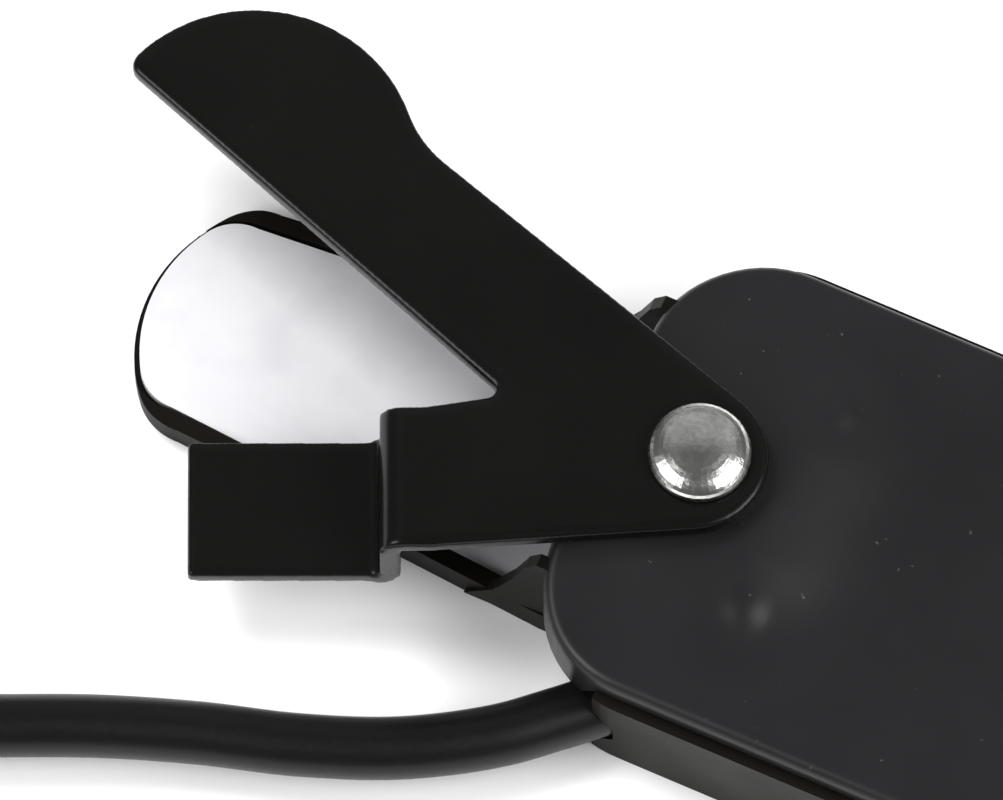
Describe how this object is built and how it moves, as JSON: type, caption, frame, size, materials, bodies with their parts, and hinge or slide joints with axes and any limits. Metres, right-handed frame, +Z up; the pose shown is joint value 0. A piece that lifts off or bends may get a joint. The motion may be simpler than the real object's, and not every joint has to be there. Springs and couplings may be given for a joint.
{
  "type": "manual can opener",
  "caption": "Pressed-steel hand opener: hollow body, tongue plate in a rimmed tray, pivoting thumb lever with a hook tab, and a coated guide rod",
  "frame": {"origin": "where the lever's pivot axis meets the flat underside", "axes": "+X along the hollow body towards its rear end, +Z up out of the cover, the tongue points along -X"},
  "size_m": [0.1776, 0.0729, 0.0197],
  "materials": {
    "base_black": "satin black-brown paint on pressed steel",
    "cover_black": "satin black paint on pressed steel",
    "lever_black": "semi-gloss black enamel on flat steel",
    "plate_steel": "bright satin steel",
    "plain_steel": "plain steel",
    "bright_rivet": "bright plated, lightly scuffed",
    "bush_brass": "plain brass",
    "rod_coating": "satin black plastic coating"
  },
  "bodies": {
    "frame": {"base_shell": "base_black", "tongue_plate": "plate_steel", "plate_rivet_front": "plain_steel", "plate_rivet_rear": "plain_steel", "top_cover": "cover_black", "pivot_bracket": "base_black", "rivet_washer": "plain_steel", "pivot_spacer": "plain_steel", "lever_washer": "plain_steel", "pivot_rivet": "bright_rivet", "rod_core": "plain_steel", "rod_sleeve": "rod_coating", "rod_end_cap": "rod_coating", "rod_clamp": "plain_steel", "clamp_rivet_left": "plain_steel", "clamp_rivet_right": "plain_steel", "rear_post_left": "bright_rivet", "rear_post_right": "bright_rivet", "hang_eyelet": "bright_rivet"},
    "lever": {"thumb_lever": "lever_black", "pivot_bush": "bush_brass"}
  },
  "joints": [
    {"name": "lever_pivot", "type": "hinge", "parent": "frame", "child": "lever", "pos_m": [0, 0, 0.0167], "axis": [0, 0, 1], "range_deg": [-30, 35]}
  ]
}
